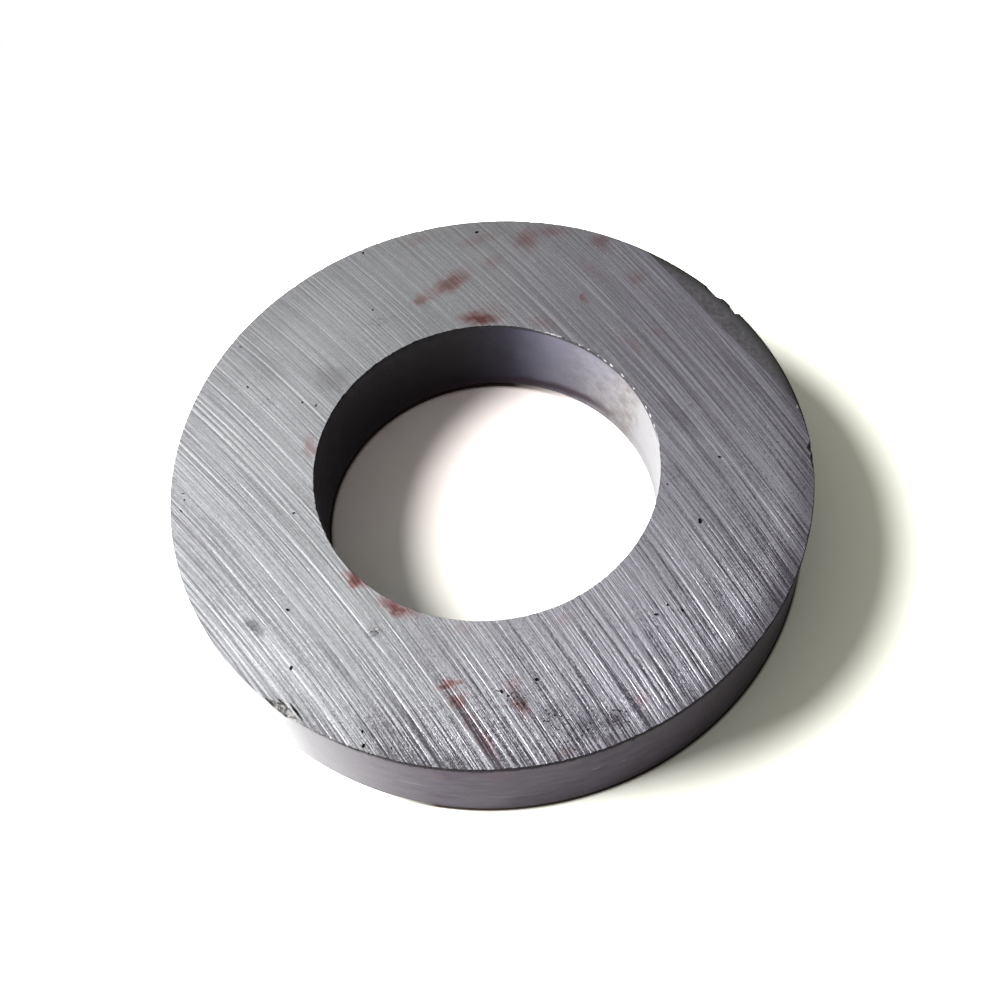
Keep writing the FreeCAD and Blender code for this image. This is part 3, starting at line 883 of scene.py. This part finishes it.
# written above 1 where the camera looks, because the photo's table is overexposed
TABLE_IN_BORE_NEAR = (2.75, 2.72, 2.5)
TABLE_IN_BORE_FAR = (2.85, 2.6, 2.48)
TABLE = (2.73, 2.75, 2.5)
TABLE_LIGHTING_RING = (0.4, 0.4, 0.4)
TABLE_MIRRORED = (0.85, 0.85, 0.83)
SHADOW_GLOW = (0.99, 0.98, 0.74)
UNDER_RING_SHADOW = (0.10, 0.07, 0.06)


def white_table():
    """A white table that keeps the ring's shadow, lifted by a painted glow, with a painted contact shadow
    under the ring's edges, and goes to plain white away from it.
    """
    bm = bmesh.new()
    bmesh.ops.create_grid(bm, x_segments=1, y_segments=1, size=1.5)
    mesh = bpy.data.meshes.new("table")
    bm.to_mesh(mesh)
    bm.free()
    table = bpy.data.objects.new("table", mesh)
    bpy.context.scene.collection.objects.link(table)
    f = Finish("white_table")
    x, y, _ = f.split(f.place())
    away = f.from_axis(x, y)
    path = f.node("LightPath").outputs
    in_bore = f.blend(f.span(y, -8.0, 6.0), TABLE_IN_BORE_NEAR, TABLE_IN_BORE_FAR)
    near = f.diffuse(f.blend(f.span(away, 17.0, 19.0), in_bore, TABLE))
    open_light = f.math("MULTIPLY", f.span(away, 30.0, 45.0, 0.035, 0.175), f.span(away, 16.0, 17.0))
    near = f.node("AddShader", {0: near, 1: f.glow(SHADOW_GLOW, open_light)}).outputs[0]
    # painted contact shadow where the table shows under the ring's rounded lower edges, away from the lit
    # left
    rim_side = f.span(away, OUTER + 0.3, OUTER + 0.05)
    foot = f.math("MULTIPLY", f.span(away, BORE - 0.35, BORE), rim_side)
    outside = f.math("MULTIPLY", f.math("GREATER_THAN", away, MIDDLE), f.span(x, -16.0, -8.0))
    inside = f.math("MULTIPLY", f.math("LESS_THAN", away, MIDDLE), f.span(x, 12.0, 4.0))
    contact_shadow = f.math("MULTIPLY", foot, f.math("ADD", outside, inside))
    near = f.cover(contact_shadow, near, f.diffuse(UNDER_RING_SHADOW))
    far = f.span(away, 50.0, 95.0, 0.0, 1.0, smooth=True)
    shown = f.cover(far, near, f.glow(WHITE, 1.0))
    glossy = f.math("MAXIMUM", path["Is Glossy Ray"], path["Is Transmission Ray"])
    unseen = f.cover(glossy, f.diffuse(TABLE_LIGHTING_RING), f.diffuse(TABLE_MIRRORED))
    final = f.cover(path["Is Camera Ray"], unseen, shown)
    f.tree.links.new(final, f.tree.nodes["Material Output"].inputs["Surface"])
    mesh.materials.append(f.material)


ROOM_LIGHT = (1.0, 1.0, 0.93)
ROOM_LEVEL = 0.07


def room():
    """Low even light from all round, and plain white behind."""
    world = bpy.data.worlds.new("room")
    world.use_nodes = True
    bpy.context.scene.world = world
    nodes, links = world.node_tree.nodes, world.node_tree.links
    dim = nodes["Background"]
    dim.inputs["Color"].default_value = (*ROOM_LIGHT, 1)
    dim.inputs["Strength"].default_value = ROOM_LEVEL
    white = nodes.new("ShaderNodeBackground")
    white.inputs["Color"].default_value = (*WHITE, 1)
    path = nodes.new("ShaderNodeLightPath")
    choose = nodes.new("ShaderNodeMixShader")
    links.new(path.outputs["Is Camera Ray"], choose.inputs[0])
    links.new(dim.outputs[0], choose.inputs[1])
    links.new(white.outputs[0], choose.inputs[2])
    links.new(choose.outputs[0], nodes["World Output"].inputs["Surface"])


def lamp(name, azimuth, elevation, distance, size, power):
    """A soft round lamp aimed at the ring, placed by its direction and distance in metres."""
    light = bpy.data.lights.new(name, "AREA")
    light.shape = "DISK"
    light.size = size
    light.energy = power
    lamp_object = bpy.data.objects.new(name, light)
    flat = math.cos(math.radians(elevation))
    a = math.radians(azimuth)
    out = Vector((flat * math.cos(a), flat * math.sin(a), math.sin(math.radians(elevation))))
    lamp_object.location = out * distance
    lamp_object.rotation_euler = out.to_track_quat("Z", "Y").to_euler()
    bpy.context.scene.collection.objects.link(lamp_object)


# where the photograph was taken from, in metres, and how the camera was turned, in degrees
CAMERA_PLACE = (0, -0.068628, 0.117283)
CAMERA_TURN = (29.75422, 5.82806, -4.95155)
CAMERA_LENS = 48.844
CAMERA_SHIFT = 0.0684, 0.0301


def photo_camera():
    """The photograph's view, with its crop as a small shift."""
    data = bpy.data.cameras.new("photo_camera")
    data.sensor_width = 36
    data.lens = CAMERA_LENS
    data.shift_x, data.shift_y = CAMERA_SHIFT
    data.clip_start = 0.005
    data.clip_end = 10
    camera = bpy.data.objects.new("photo_camera", data)
    turn = Euler([math.radians(t) for t in CAMERA_TURN]).to_matrix().to_4x4()
    camera.matrix_world = Matrix.Translation(CAMERA_PLACE) @ turn
    bpy.context.scene.collection.objects.link(camera)
    bpy.context.scene.camera = camera


make_ring()
white_table()
room()
lamp("window", azimuth=169, elevation=30, distance=1.0, size=0.96, power=27.0)
photo_camera()
bpy.context.scene.view_settings.view_transform = "Standard"
